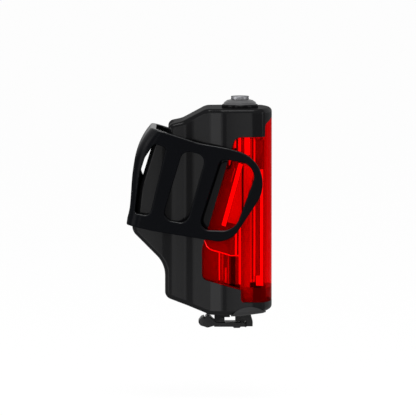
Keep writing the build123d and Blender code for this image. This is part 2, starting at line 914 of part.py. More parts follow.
with BuildPart() as bezel_screws:
    with BuildSketch(Plane.YZ.offset(bezel_front_x)):
        with Locations(boss_places):
            Circle(screw_head_radius)
    extrude(amount=-screw_head_height)
    with BuildSketch(Plane.YZ.offset(bezel_front_x - screw_head_height)):
        with Locations(boss_places):
            Circle(screw_radius)
    extrude(amount=control_board_x - screw_grip - bezel_front_x + screw_head_height)
bezel_screws.part.label = "bezel_screws"

optic_back_x = led_face_x + led_height + led_clear
with BuildPart() as optic_strip:
    with BuildSketch(Plane.XY.offset(optic_middle - optic_length / 2)):
        with Locations((optic_back_x, 0)):
            Rectangle(optic_front - optic_back_x, 2 * optic_half_width, align=(Align.MIN, Align.CENTER))
        with Locations((optic_front - optic_round_radius, 0)):
            Circle(optic_round_radius, mode=Mode.INTERSECT)
        with Locations((bezel_front_x, 0)):
            Rectangle(optic_foot, 2 * (optic_half_width + optic_foot_lip), align=(Align.MIN, Align.CENTER))
    extrude(amount=optic_length)
optic_strip.part.label = "optic_strip"

guide_space = window(-guide_edge)
guide_inner_y = board_half_width + guide_gap
guide_outer_y = guide_inner_y + guide_thickness
guide_rib_pitch = (led_face_x - guide_rib_back - guide_rib_width) / (guide_rib_count - 1)
guide_parts = []
for side, name in ((-1, "near"), (1, "far")):
    with BuildPart() as guide:
        with BuildSketch(Plane.XZ.offset(-side * guide_inner_y)):
            with Locations((led_face_x, board_middle)):
                Rectangle(led_face_x, reach, align=(Align.MAX, Align.CENTER))
        extrude(amount=-side * guide_thickness)
        with BuildSketch(Plane.XZ.offset(-side * guide_outer_y)):
            for index in range(guide_rib_count):
                with Locations((guide_rib_back + index * guide_rib_pitch, board_middle)):
                    Rectangle(guide_rib_width, reach, align=(Align.MIN, Align.CENTER))
        extrude(amount=-side * guide_rib_depth)
        add(guide_space, mode=Mode.INTERSECT)
    guide.part.label = f"side_guide_{name}"
    guide_parts.append(guide.part)

# Battery: the cell in its sleeve, its two strips and the tray that holds it
with BuildPart() as battery_cell:
    with BuildSketch(Plane.XY.offset(cell_bottom)):
        with Locations((cell_x, 0)):
            Circle(cell_radius)
    extrude(amount=cell_length)
battery_cell.part.label = "battery_cell"

with BuildPart() as battery_sleeve:
    with BuildSketch(Plane.XY.offset(cell_bottom)):
        with Locations((cell_x, 0)):
            Circle(sleeve_radius)
            Circle(cell_radius, mode=Mode.SUBTRACT)
    extrude(amount=cell_length)
battery_sleeve.part.label = "battery_sleeve"

strip_heights = (cell_top, cell_bottom - tab_thickness)
strips = []
for height, name in zip(strip_heights, ("plus", "minus")):
    with BuildPart() as strip:
        with BuildSketch(Plane.XY.offset(height)):
            with Locations((control_board_x, 0)):
                Rectangle(control_board_x - cell_x + tab_half_width, 2 * tab_half_width,
                          align=(Align.MAX, Align.CENTER))
        extrude(amount=tab_thickness)
    strip.part.label = f"battery_strip_{name}"
    strips.append(strip.part)

tray_top = boss_top - boss_height / 2
tray_bottom = cell_bottom - tab_thickness - tab_clear - tray_plate
leg_foot = -boss_bottom + boss_height / 2
with BuildPart() as battery_tray:
    with BuildSketch(Plane.XY.offset(tray_bottom)):
        with Locations((cell_x, 0)):
            Circle(tray_outer)
            Rectangle(tray_outer, 2 * tray_outer, align=(Align.MIN, Align.CENTER), mode=Mode.INTERSECT)
    extrude(amount=tray_top - tray_bottom)
    with BuildSketch(Plane.XY.offset(cell_bottom - tab_thickness - tab_clear)):
        with Locations((cell_x, 0)):
            Circle(tray_inner)
    extrude(amount=cell_length + 2 * (tab_thickness + tab_clear), mode=Mode.SUBTRACT)
    for height in strip_heights:
        with BuildSketch(Plane.XY.offset(height - tab_clear)):
            with Locations((cell_x, 0)):
                Rectangle(2 * tray_outer, 2 * (tab_half_width + tab_clear))
        extrude(amount=tab_thickness + 2 * tab_clear, mode=Mode.SUBTRACT)
    with BuildSketch(Plane.XY.offset(tray_bottom)):
        with Locations((control_board_x - boss_reach, 0)):
            with GridLocations(leg_depth, 2 * (boss_half_width - leg_width / 2), 1, 2):
                Rectangle(leg_depth, leg_width, align=(Align.MIN, Align.CENTER))
    extrude(amount=leg_foot - tray_bottom)
battery_tray.part.label = "battery_tray"

# What sits on the control board
chips = []
chip_rows = (
    ("control_chip", chip_size, chip_height, -1),
    ("charge_chip", charger_size, charger_height, -1),
    ("driver_inductor", inductor_size, inductor_height, -1),
    ("capacitors", capacitor_size, capacitor_height, 1),
)
chip_place_shares = ((0.0, 0.55), (-0.55, 0.22), (0.62, 0.74), (-0.6, 0.36))
for (name, size, height, side), (width_share, height_share) in zip(chip_rows, chip_place_shares):
    with BuildPart() as chip:
        with BuildSketch(Plane.YZ.offset(control_board_x if side < 0 else board_front_x)):
            with Locations((width_share * board_half_width, -board_bottom + height_share * board_height)):
                Rectangle(size, size)
        extrude(amount=side * height)
    chip.part.label = name
    chips.append(chip.part)

with BuildPart() as board_link_pins:
    with BuildSketch(Plane.YZ.offset(board_front_x)):
        with Locations((0, -link_pin_drop)):
            with GridLocations(link_pin_pitch, 0, link_pin_count, 1):
                Rectangle(link_pin_size, link_pin_size)
    extrude(amount=led_board_x - board_front_x)
board_link_pins.part.label = "board_link_pins"

# Charging socket
socket_inner = (socket_depth - 2 * socket_skin, socket_width - 2 * socket_skin, socket_corner - socket_skin)
with BuildPart() as usb_shell:
    with BuildSketch(Plane.XY.offset(socket_mouth)):
        with Locations((socket_x, 0)):
            RectangleRounded(socket_depth, socket_width, socket_corner)
    extrude(amount=socket_length)
    with BuildSketch(Plane.XY.offset(socket_mouth)):
        with Locations((socket_x, 0)):
            RectangleRounded(*socket_inner)
    extrude(amount=socket_length - socket_skin, mode=Mode.SUBTRACT)
usb_shell.part.label = "usb_shell"

with BuildPart() as usb_tongue:
    with BuildSketch(Plane.XY.offset(socket_mouth + tongue_recess)):
        with Locations((socket_x, 0)):
            Rectangle(tongue_depth, tongue_width)
    extrude(amount=socket_length - socket_skin - tongue_recess)
    with BuildSketch(Plane.XY.offset(socket_mouth + socket_length - socket_skin)):
        with Locations((socket_x, 0)):
            RectangleRounded(*socket_inner)
    extrude(amount=-tongue_root)
usb_tongue.part.label = "usb_tongue"

# Port cover: a rubber plate with a sealing plug and a finger lobe, on a living hinge at the anchor
cover_length = cover_right - cover_left
cover_z = (cover_top + cover_bottom) / 2
finger_shares = (
    (0.05, 0.35), (-0.18, 0.575), (-0.42, 1.0), (-0.515, 1.01), (-0.62, 0.8), (-0.627, 0.64),
    (-0.69, 0.86), (-0.833, 0.775), (-1.0, 0.45), (-0.9, 0.125), (-0.47, -0.075), (-0.135, 0.09),
    (0.05, 0.08),
)
finger_root = cover_left + finger_overlap
finger = [
    ((finger_root + x, cover_bottom + z), radius)
    for (x, z), radius in zip(scaled(finger_shares, finger_length, finger_height), finger_radii)
]
plug_back = socket_x - cover_plug_shift - cover_plug_depth / 2
plug_width = socket_width - 2 * cover_plug_clear
foot_top = collar_bottom - cover_plug_top_gap
plug_top = socket_mouth - cover_plug_top_gap
with BuildPart() as port_cover:
    with BuildSketch(Plane.XZ):
        with Locations(((cover_left + cover_right) / 2, cover_z)):
            Rectangle(cover_length, cover_thickness)
        with Locations((cover_right - cover_bump_back, cover_bottom)):
            Rectangle(cover_bump_length, cover_bump_depth, align=(Align.MIN, Align.MAX))
        rounded_outline(finger)
    extrude(amount=cover_half_width, both=True)
    with BuildSketch(Plane.XY.offset(cover_bottom - overrun)):
        with Locations((cover_right, 0)):
            RectangleRounded(2 * (cover_length + finger_length), 2 * cover_half_width, finger_corner)
    extrude(amount=reach, mode=Mode.INTERSECT)
    with BuildSketch(Plane.XY.offset(cover_top)):
        with Locations((plug_back, 0)):
            Rectangle(cover_plug_depth + cover_foot_reach, plug_width, align=(Align.MIN, Align.CENTER))
    extrude(amount=foot_top - cover_top)
    with BuildSketch(Plane.XY.offset(cover_top)):
        with Locations((plug_back + cover_plug_depth / 2, 0)):
            RectangleRounded(cover_plug_depth, plug_width, cover_plug_depth / 2 - plug_edge)
    extrude(amount=plug_top - cover_top)
port_cover.part.label = "port_cover"

with BuildPart() as cover_anchor:
    with BuildSketch(Plane.XZ):
        with BuildLine() as anchor_line:
            chin_z = -body_drop - bumper_proud
            Polyline(
                (anchor_left, chin_z),
                (anchor_right, chin_z),
                (anchor_tail, cover_top),
                (anchor_tail, cover_bottom),
                (cover_right + hinge_slit, cover_bottom),
                (cover_right + hinge_slit, cover_top + hinge_slit),
                (anchor_left, cover_top + hinge_slit),
                close=True,
            )
        make_face(anchor_line.edges())
    extrude(amount=anchor_half_width, both=True)
    with BuildSketch(Plane.XY.offset(chin_z)):
        with Locations((anchor_x, 0)):
            Circle(anchor_stud_radius)
    extrude(amount=bumper_proud + wall)
cover_anchor.part.label = "cover_anchor"

# Power button
with BuildPart() as button_cap:
    with BuildSketch(Plane.XY.offset(button_top)):
        with Locations((button_x, 0)):
            Circle(button_cap_radius)
    extrude(amount=-button_cap_thickness)
    chamfer(button_cap.faces().sort_by(Axis.Z)[-1].edges(), button_cap_edge)
button_cap.part.label = "button_cap"

boot_top = button_top - button_cap_thickness
with BuildPart() as button_boot:
    with BuildSketch(Plane.XZ):
        with BuildLine() as boot_line:
            Polyline(
                (button_x + stem_radius + stem_clear, boot_top),
                (button_x + boot_top_radius, boot_top),
                (button_x + boot_shoulder_radius, boot_top - boot_shoulder_drop),
                (button_x + boot_flank_radius, boot_top - boot_flank_drop),
                (button_x + boot_base_radius, pad_face),
                (button_x + boot_base_radius, boot_foot),
                (button_x + boot_base_radius - boot_wall - boot_rim, boot_foot),
                (button_x + boot_top_radius, boot_top - boot_wall),
                (button_x + stem_radius + stem_clear, boot_top - boot_wall),
                close=True,
            )
        make_face(boot_line.edges())
    revolve(axis=Axis((button_x, 0, 0), (0, 0, 1)))
button_boot.part.label = "button_boot"

plunger_top = switch_top + plunger_rise
stem_head_top = roof_inner - stem_head_clear
with BuildPart() as button_stem:
    with BuildSketch(Plane.XY.offset(plunger_top)):
        with Locations((button_x, 0)):
            Circle(stem_radius)
    extrude(amount=boot_top - plunger_top)
    with BuildSketch(Plane.XY.offset(stem_head_top)):
        with Locations((button_x, 0)):
            Circle(stem_head_radius)
    extrude(amount=-stem_head_thickness)
button_stem.part.label = "button_stem"

with BuildPart() as switch_plunger:
    with BuildSketch(Plane.XY.offset(plunger_top)):
        with Locations((button_x, 0)):
            Circle(plunger_radius)
    extrude(amount=-plunger_rise - plunger_sunk)
switch_plunger.part.label = "switch_plunger"

with BuildPart() as switch_base:
    with BuildSketch(Plane.XY.offset(switch_bottom)):
        with Locations((button_x, 0)):
            Rectangle(switch_size, switch_size)
    extrude(amount=switch_height)
    with BuildSketch(Plane.XY.offset(switch_top)):
        with Locations((button_x, 0)):
            Circle(plunger_radius + plunger_clear)
    extrude(amount=-plunger_sunk - button_travel - plunger_clear, mode=Mode.SUBTRACT)
switch_base.part.label = "switch_base"

with BuildPart() as switch_board:
    with BuildSketch(Plane.XY.offset(switch_board_bottom)):
        with Locations((button_x, 0)):
            Rectangle(2 * switch_board_half_length, 2 * switch_board_half_width)
        with Locations(roof_boss_places):
            Circle(switch_screw_radius, mode=Mode.SUBTRACT)
    extrude(amount=switch_board_thickness)
switch_board.part.label = "switch_board"

with BuildPart() as switch_screws:
    with BuildSketch(Plane.XY.offset(switch_board_bottom)):
        with Locations(roof_boss_places):
            Circle(switch_screw_radius)
    extrude(amount=switch_board_thickness + switch_screw_length)
    with BuildSketch(Plane.XY.offset(switch_board_bottom)):
        with Locations(roof_boss_places):
            Circle(switch_screw_head_radius)
    extrude(amount=-switch_screw_head_height)
switch_screws.part.label = "switch_screws"

with BuildPart() as switch_flex:
    with BuildSketch(Plane.YZ.offset(board_front_x)):
        with Locations((0, switch_board_bottom)):
            Rectangle(2 * flex_half_width, switch_board_bottom - board_top + flex_drop,
                      align=(Align.CENTER, Align.MAX))
    extrude(amount=flex_thickness)
switch_flex.part.label = "switch_flex"

finished = [
    rear_housing.part, lens.part, lens_gasket.part, saddle_pad.part, chin_bumper.part,
    strap.part, strap_pin.part, port_cover.part, cover_anchor.part,
    control_board.part, led_board.part, board_spacers.part, board_link_pins.part,
    heat_spreader.part, bezel.part, bezel_screws.part, optic_strip.part,
    battery_cell.part, battery_sleeve.part, battery_tray.part, usb_shell.part, usb_tongue.part,
    button_cap.part, button_boot.part, button_stem.part, switch_plunger.part,
    switch_base.part, switch_board.part, switch_screws.part, switch_flex.part,
    *leds, *guide_parts, *strips, *chips,
]
os.makedirs("parts", exist_ok=True)
for piece in finished:
    export_step(piece, f"parts/{piece.label}.step")
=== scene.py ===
from math import atan2, cos, degrees, hypot, pi, radians, sin

import bmesh
import bpy
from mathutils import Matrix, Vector


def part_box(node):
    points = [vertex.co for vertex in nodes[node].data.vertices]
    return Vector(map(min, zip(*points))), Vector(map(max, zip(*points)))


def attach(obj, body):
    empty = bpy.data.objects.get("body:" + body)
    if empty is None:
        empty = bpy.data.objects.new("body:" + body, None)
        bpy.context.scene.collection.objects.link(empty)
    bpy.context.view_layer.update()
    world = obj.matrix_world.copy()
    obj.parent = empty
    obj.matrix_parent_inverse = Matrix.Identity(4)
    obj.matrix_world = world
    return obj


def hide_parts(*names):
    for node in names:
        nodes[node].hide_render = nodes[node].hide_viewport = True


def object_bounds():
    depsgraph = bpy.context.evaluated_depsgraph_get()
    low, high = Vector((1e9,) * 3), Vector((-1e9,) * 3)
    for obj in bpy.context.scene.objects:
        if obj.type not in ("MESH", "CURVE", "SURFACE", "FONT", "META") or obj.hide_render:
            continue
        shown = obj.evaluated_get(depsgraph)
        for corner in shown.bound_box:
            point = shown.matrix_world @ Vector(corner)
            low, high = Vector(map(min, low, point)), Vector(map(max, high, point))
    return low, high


# The looks of a strap-on bicycle rear light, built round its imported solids. +X runs to the lens and +Z up.
# Blender works in metres. Places and widths of pieces are given in millimetres and times mm.
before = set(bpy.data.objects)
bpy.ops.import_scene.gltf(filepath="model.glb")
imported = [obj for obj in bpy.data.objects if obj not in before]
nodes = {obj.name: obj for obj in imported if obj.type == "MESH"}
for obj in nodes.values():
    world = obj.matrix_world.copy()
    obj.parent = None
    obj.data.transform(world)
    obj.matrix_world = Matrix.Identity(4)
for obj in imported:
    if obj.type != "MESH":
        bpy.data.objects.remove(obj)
cad_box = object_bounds()
mm = 0.001

view_middle = (17.7, 0, -12.9)
view_rise = 4.5
view_distance = 2.371
focal_length = 600
sensor_width = 36
nearest_seen = 0.01


# Camera: level with the lens, a little above the light, through a long lens
def place_camera():
    rise = radians(view_rise)
    back = Vector((0, -cos(rise), sin(rise)))
    lens = bpy.data.cameras.new("camera")
    lens.lens = focal_length
    lens.sensor_width = sensor_width
    lens.clip_start = nearest_seen
    camera = bpy.data.objects.new("camera", lens)
    camera.location = Vector([part * mm for part in view_middle]) + view_distance * back
    camera.rotation_mode = "QUATERNION"
    camera.rotation_quaternion = (-back).to_track_quat("-Z", "Y")
    bpy.context.scene.collection.objects.link(camera)
    bpy.context.scene.camera = camera


place_camera()


# Materials
class Tone:
    """One value or colour on its way through a material; sums on it add the nodes."""

    def __init__(self, finish, socket):
        self.finish = finish
        self.socket = socket

    def sum(self, operation, first, second):
        return self.finish.node("Math", {"operation": operation}, {0: first, 1: second})

    def __add__(self, other):
        return self.sum("ADD", self, other)

    def __sub__(self, other):
        return self.sum("SUBTRACT", self, other)

    def __rsub__(self, other):
        return self.sum("SUBTRACT", other, self)

    def __mul__(self, other):
        return self.sum("MULTIPLY", self, other)

    __radd__ = __add__
    __rmul__ = __mul__


class Finish:
    """A material under one name, with its main shader ready for settings."""

    # Places of a colour Mix node's sockets, which share their names with its other kinds
    mix_share, mix_first, mix_second, mix_result = 0, 6, 7, 2

    def __init__(self, name, **look):
        self.material = bpy.data.materials.new(name)
        self.material.use_nodes = True
        self.tree = self.material.node_tree
        self.shader = self.tree.nodes["Principled BSDF"]
        self.set(**look)

    def node(self, kind, settings=(), inputs=(), output=0):
        made = self.tree.nodes.new("ShaderNode" + kind)
        for name, value in dict(settings).items():
            setattr(made, name, value)
        for name, value in dict(inputs).items():
            self.feed(made.inputs[name], value)
        return Tone(self, made.outputs[output])

    def feed(self, socket, value):
        if isinstance(value, Tone):
            self.tree.links.new(value.socket, socket)
        elif hasattr(value, "__len__") and len(value) == 3 and len(socket.default_value) == 4:
            socket.default_value = (*value, 1)
        else:
            socket.default_value = value

    def set(self, **look):
        for name, value in look.items():
            title = name.replace("_", " ").title().replace("Ior", "IOR")
            self.feed(self.shader.inputs[title], value)

    def grain(self, scale, detail, stretch=None):
        where = self.node("TexCoord", output="Object")
        if stretch:
            where = self.node("Mapping", inputs={"Vector": where, "Scale": stretch})
        return self.node("TexNoise", inputs={"Vector": where, "Scale": scale, "Detail": detail})

    def upward(self):
        """How far a face looks up, from -1 to 1."""
        normal = self.node("TexCoord", output="Normal")
        return self.node("SeparateXYZ", inputs={"Vector": normal}, output="Z")

    def mixed(self, share, first, second):
        parts = {self.mix_share: share, self.mix_first: first, self.mix_second: second}
        return self.node("Mix", {"data_type": "RGBA"}, parts, self.mix_result)

    def relief(self, height, strength, depth):
        bump = self.node("Bump", inputs={"Height": height, "Strength": strength, "Distance": depth})
        self.feed(self.shader.inputs["Normal"], bump)

    def instead(self, share, other):
        """Another shader takes the main one's place, by its share."""
        main = Tone(self, self.shader.outputs[0])
        surface = self.node("MixShader", inputs={0: share, 1: main, 2: other})
        self.tree.links.new(surface.socket, self.tree.nodes["Material Output"].inputs["Surface"])


cloud_scale = 90
cloud_swing = 0.08
tooth_depth = 0.02 * mm
mark_scale = 1500
mark_dark = 0.85
mark_swing = 0.12
mark_relief = 0.1
mark_depth = 0.01 * mm


def moulded(name, colour, roughness, shine, cloud=0.15, tooth=0.25, tooth_scale=4500):
    """Moulded plastic or rubber: a cloudy tone, and a fine spark-eroded tooth."""
    finish = Finish(name)
    cloudy = finish.grain(cloud_scale, detail=3)
    deep = [part * (1 - cloud) for part in colour]
    light = [part * (1 + cloud) for part in colour]
    finish.set(
        base_color=finish.mixed(cloudy, deep, light),
        roughness=roughness + (cloudy - 0.5) * cloud_swing,
        specular_ior_level=shine,
    )
    finish.relief(finish.grain(tooth_scale, detail=2), tooth, tooth_depth)
    return finish


def polished_with_painted_tops(finish, gloss, above, roughness, low=0.5):
    """A thin polish in place of the plain gloss, whose weight on faces that look up is set apart from the
    sides, to paint how the light falls on the tops.
    """
    turn = {"From Min": low, "From Max": 1.0, "To Min": gloss, "To Max": above}
    finish.set(
        coat_weight=finish.node("MapRange", inputs={"Value": finish.upward(), **turn}),
        coat_roughness=roughness,
        specular_ior_level=0.0,
    )
    return finish


def clear(name, colour, passed, ior, roughness, ripple, ripple_scale):
    """Clear plastic with a slight ripple from the tool, which lamps shine through in the passed colour."""
    finish = Finish(name, base_color=colour, transmission_weight=1.0, ior=ior)
    finish.set(roughness=roughness + finish.grain(ripple_scale, detail=1) * ripple)
    lamp_ray = finish.node("LightPath", output="Is Shadow Ray")
    finish.instead(lamp_ray, finish.node("BsdfTransparent", inputs={"Color": passed}))
    return finish


def clear_red(name, colour):
    """The lens, a thin shell that hardly bends what lies behind it."""
    passed = (0.93, 0.02, 0.02)
    return clear(name, colour, passed, ior=1.01, roughness=0.01, ripple=0.012, ripple_scale=60)


def metal(name, colour, roughness, marks=(1, 1, 1)):
    """Metal with drawn or turned marks, which run along the ways that are squeezed."""
    finish = Finish(name, metallic=1.0)
    marked = finish.grain(mark_scale, 2, marks)
    finish.set(
        base_color=finish.mixed(marked, [part * mark_dark for part in colour], colour),
        roughness=roughness + (marked - 0.5) * mark_swing,
    )
    finish.relief(marked, mark_relief, mark_depth)
    return finish


# Outside
# Painted shade: the housing's roof gets less polish than its sides, which darkens its tops.
housing_black = polished_with_painted_tops(
    moulded("housing_black", (0.0036, 0.0036, 0.004), 0.3, shine=0, tooth=0.06),
    gloss=0.15, above=0.08, roughness=0.14,
)
# Painted highlight: faces of the strap that look up get much more polish, which lights its top edges.
strap_rubber = polished_with_painted_tops(
    moulded("strap_rubber", (0.0012, 0.0014, 0.002), 0.42, shine=0, tooth=0.12),
    gloss=0.05, above=0.8, roughness=0.3, low=0.2,
)
port_rubber = moulded("port_rubber", (0.003, 0.003, 0.0035), 0.42, shine=0.15)
chin_rubber = moulded(
    "chin_rubber", (0.012, 0.012, 0.0125), 0.6, shine=0.2, cloud=0.3, tooth=0.5, tooth_scale=2200
)
boot_rubber = moulded("boot_rubber", (0.045, 0.045, 0.047), 0.42, shine=0.4, cloud=0.1, tooth=0.15)
cap_silver = metal("cap_silver", (0.2, 0.2, 0.21), 0.42, marks=(0.05, 0.05, 1))
cap_silver.set(specular_tint=(0.25, 0.25, 0.25))
lens_red = clear_red("lens_clear_red", (0.93, 0.004, 0.006))
# The lens foot painted a near black red with a faint red glow: painted shade and a painted glow.
lens_foot_painted_shade_and_glow = clear_red("lens_foot_painted_shade_and_glow", (0.12, 0.001, 0.001))
lens_foot_painted_shade_and_glow.set(emission_color=(1.0, 0.0, 0.0), emission_strength=0.05)
# The lens front painted a deeper red, painted shade.
lens_edge_painted_shade = clear_red("lens_edge_painted_shade", (0.8, 0.001, 0.002))

# Behind the lens
optic_clear = clear(
    "optic_clear", (0.97, 0.95, 0.95), passed=(0.9, 0.88, 0.88),
    ior=1.3, roughness=0.03, ripple=0.03, ripple_scale=120,
)
# White guide plastic with a faint painted red glow, though the light is not switched on.
guide_white_painted_glow = moulded("guide_white_painted_glow", (0.85, 0.83, 0.83), 0.4, shine=0.4, cloud=0.05)
guide_white_painted_glow.set(emission_color=(1.0, 0.35, 0.3), emission_strength=0.35)
# The same white guide plastic painted darker step by step, as painted shade.
guide_pale_painted_shade = moulded("guide_pale_painted_shade", (0.43, 0.42, 0.42), 0.4, shine=0.4, cloud=0.06)
guide_grey_painted_shade = moulded("guide_grey_painted_shade", (0.27, 0.26, 0.26), 0.4, shine=0.4, cloud=0.08)
guide_dim_painted_shade = moulded("guide_dim_painted_shade", (0.2, 0.19, 0.19), 0.45, shine=0.3)
guide_dark_painted_shade = moulded("guide_dark_painted_shade", (0.125, 0.12, 0.12), 0.45, shine=0.3)
# The bezel's white plastic painted grey, as painted shade inside the housing.
bezel_white_painted_shade = moulded("bezel_white_painted_shade", (0.27, 0.26, 0.26), 0.3, shine=0.5, cloud=0.05)

# Inside
inner_black = moulded("inner_black", (0.012, 0.012, 0.012), 0.5, shine=0.2)
board_green = moulded(
    "board_green", (0.02, 0.09, 0.045), 0.4, shine=0.4, cloud=0.3, tooth=0.3, tooth_scale=900
)
led_yellow = moulded("led_yellow", (0.85, 0.7, 0.35), 0.3, shine=0.5, cloud=0.08)
chip_black = moulded("chip_black", (0.02, 0.02, 0.021), 0.5, shine=0.3)
ferrite_grey = moulded("ferrite_grey", (0.06, 0.06, 0.062), 0.6, shine=0.3, cloud=0.3, tooth=0.5)
sleeve_blue = moulded("sleeve_blue", (0.03, 0.1, 0.32), 0.3, shine=0.5)
aluminium = metal("aluminium_plate", (0.75, 0.75, 0.77), 0.4, marks=(1, 1, 0.1))
steel = metal("steel_plated", (0.6, 0.6, 0.62), 0.3)
nickel = metal("nickel_strip", (0.66, 0.63, 0.58), 0.35, marks=(0.1, 1, 1))
cell_can = metal("cell_can", (0.6, 0.6, 0.62), 0.35, marks=(1, 1, 0.05))

# Modelling
sharp_angle = 30
soft_angle = 35
bar_angle = 30
merge_reach = 0.005
flat_angle = 0.5
round_steps = 72


def choose(*pieces):
    bpy.ops.object.select_all(action="DESELECT")
    for piece in pieces:
        piece.select_set(True)
    bpy.context.view_layer.objects.active = pieces[0]


def editing(piece):
    """Opens a piece for shaping, with all of it selected."""
    choose(piece)
    bpy.ops.object.mode_set(mode="EDIT")
    bpy.ops.mesh.select_all(action="SELECT")


def done_editing():
    bpy.ops.object.mode_set(mode="OBJECT")


def middle(edge):
    return (edge.verts[0].co + edge.verts[1].co) / 2 / mm


def sharp(edge):
    return len(edge.link_faces) == 2 and edge.calc_face_angle() > radians(sharp_angle)


def rounded(piece, width, segments, wanted=sharp):
    """Rounds the wanted edges of a piece, width in millimetres."""
    editing(piece)
    bpy.ops.mesh.select_all(action="DESELECT")
    bpy.ops.mesh.select_mode(type="EDGE")
    for edge in bmesh.from_edit_mesh(piece.data).edges:
        edge.select_set(wanted(edge))
    bmesh.update_edit_mesh(piece.data)
    bpy.ops.mesh.bevel(offset=width * mm, segments=segments, affect="EDGES", clamp_overlap=False)
    done_editing()


def copy_of(node, name):
    """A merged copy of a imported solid, with its flat faces whole again."""
    piece = bpy.data.objects.new(name, nodes[node].data.copy())
    bpy.context.scene.collection.objects.link(piece)
    editing(piece)
    bpy.ops.mesh.customdata_custom_splitnormals_clear()
    bpy.ops.mesh.remove_doubles(threshold=merge_reach * mm)
    bpy.ops.mesh.dissolve_limited(angle_limit=radians(flat_angle))
    done_editing()
    return piece


def block(name, x, y, z, finish, edge=0.1, lean=0):
    """A bar between pairs of places in millimetres, its edges rounded, leaning in the side view."""
    bpy.ops.object.select_all(action="DESELECT")
    bpy.ops.mesh.primitive_cube_add(size=mm)
    bar = bpy.context.object
    bar.name = name
    centre = Vector([sum(pair) / 2 * mm for pair in (x, y, z)])
    editing(bar)
    bpy.ops.transform.resize(value=(x[1] - x[0], y[1] - y[0], z[1] - z[0]), center_override=(0, 0, 0))
    bpy.ops.transform.translate(value=centre)
    bpy.ops.mesh.bevel(offset=edge * mm, segments=2, affect="EDGES")
    if lean:
        bpy.ops.mesh.select_all(action="SELECT")
        bpy.ops.transform.rotate(value=radians(lean), orient_axis="Y", center_override=centre)
    done_editing()
    wear(bar, finish)
    return bar


def turned(name, x, profile, finish):
    """A turned piece about an upright axis at x, from (radius, height) points in millimetres."""
    bpy.ops.object.select_all(action="DESELECT")
    radius, height = profile[0]
    bpy.ops.mesh.primitive_circle_add(vertices=round_steps, radius=radius * mm, fill_type="NGON")
    piece = bpy.context.object
    piece.name = name
    editing(piece)
    bpy.ops.transform.translate(value=(x * mm, 0, height * mm))
    for wider, higher in profile[1:]:
        step = {"value": (0, 0, (higher - height) * mm)}
        bpy.ops.mesh.extrude_region_move(TRANSFORM_OT_translate=step)
        scale = wider / radius
        bpy.ops.transform.resize(value=(scale, scale, 1), center_override=(x * mm, 0, 0))
        radius, height = wider, higher
    bpy.ops.mesh.select_all(action="SELECT")
    bpy.ops.mesh.normals_make_consistent(inside=False)
    done_editing()
    smooth(piece, soft_angle)
    wear(piece, finish)
    return piece


def mirrored(piece, name):
    """The same piece on the far side, with a mesh of its own."""
    twin = bpy.data.objects.new(name, piece.data.copy())
    bpy.context.scene.collection.objects.link(twin)
    editing(twin)
    bpy.ops.transform.resize(value=(1, -1, 1), center_override=(0, 0, 0))
    bpy.ops.mesh.normals_make_consistent(inside=False)
    done_editing()
    return twin


def join(pieces, name):
    choose(*pieces)
    bpy.ops.object.join()
    joined = bpy.context.object
    joined.name = name
    return joined


def smooth(piece, angle):
    choose(piece)
    bpy.ops.object.shade_smooth_by_angle(angle=radians(angle))


def even(piece):
    """Smooth shading that keeps wide flat faces flat."""
    smooth(piece, soft_angle)
    weigh = piece.modifiers.new("weigh", "WEIGHTED_NORMAL")
    weigh.keep_sharp = True
    bpy.ops.object.modifier_apply(modifier=weigh.name)


def wear(piece, finish):
    piece.data.materials.clear()
    piece.data.materials.append(finish.material)


def fit(piece, body, slot, *stands_for):
    """The piece rides on its body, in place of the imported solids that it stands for."""
    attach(piece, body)
    if stands_for:
        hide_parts(*stands_for)


# Strap: soft edges all round, but for a short narrow place where a rounding would spike
strap_edge = 0.55
strap_narrow = Vector((-7.2, -11.1, -11.8))
strap_narrow_reach = 1.6


def make_strap():
    strap = copy_of("strap", "strap_rubber")
    rounded(
        strap, strap_edge, 3,
        lambda edge: sharp(edge) and (middle(edge) - strap_narrow).length > strap_narrow_reach,
    )
    even(strap)
    wear(strap, strap_rubber)
    fit(strap, "strap", "rubber_black", "strap")


# Port cover and its anchor: soft rubber edges, the shortest ones left as they are
cover_edge = 0.22
cover_least_edge = 0.25


def make_cover():
    for node, body in (("port_cover", "port_cover"), ("cover_anchor", "body")):
        piece = copy_of(node, node + "_rubber")
        rounded(
            piece, cover_edge, 2,
            lambda edge: sharp(edge) and edge.calc_length() > cover_least_edge * mm,
        )
        even(piece)
        wear(piece, port_rubber)
        fit(piece, body, "rubber_black", node)


# Lens: fine edges, a foot with painted shade and a faint painted glow where the housing's sill lies behind
# it, and a front wall painted a deeper red as painted shade
lens_edge = 0.12
foot_line = -39.3
foot_back = 33.0
front_back = 36.95


def make_lens():
    lens = copy_of("lens", "lens_shell")
    rounded(lens, lens_edge, 1)
    editing(lens)
    for x, z, way in ((0, foot_line, (0, 0, 1)), (foot_back, 0, (1, 0, 0)), (front_back, 0, (1, 0, 0))):
        bpy.ops.mesh.select_all(action="SELECT")
        bpy.ops.mesh.bisect(plane_co=(x * mm, 0, z * mm), plane_no=way)
    done_editing()
    even(lens)
    wear(lens, lens_red)
    lens.data.materials.append(lens_foot_painted_shade_and_glow.material)
    lens.data.materials.append(lens_edge_painted_shade.material)
    # Faces of the foot and of the front take their painted shade.
    for face in lens.data.polygons:
        if face.center.z < foot_line * mm and face.center.x > foot_back * mm:
            face.material_index = 1
        elif face.center.x > front_back * mm:
            face.material_index = 2
    fit(lens, "body", "lens_red", "lens")


# Side guides: a plate with upright bars, leaning ones and a bead along the foot, in white plastic painted
# from a glowing white down to black as painted light and shade
guide_face = 9.7
guide_root = 0.1
guide_lean = -15.4
bead_proud = 0.5
bead_half = 0.17
bead_overlap = 0.1
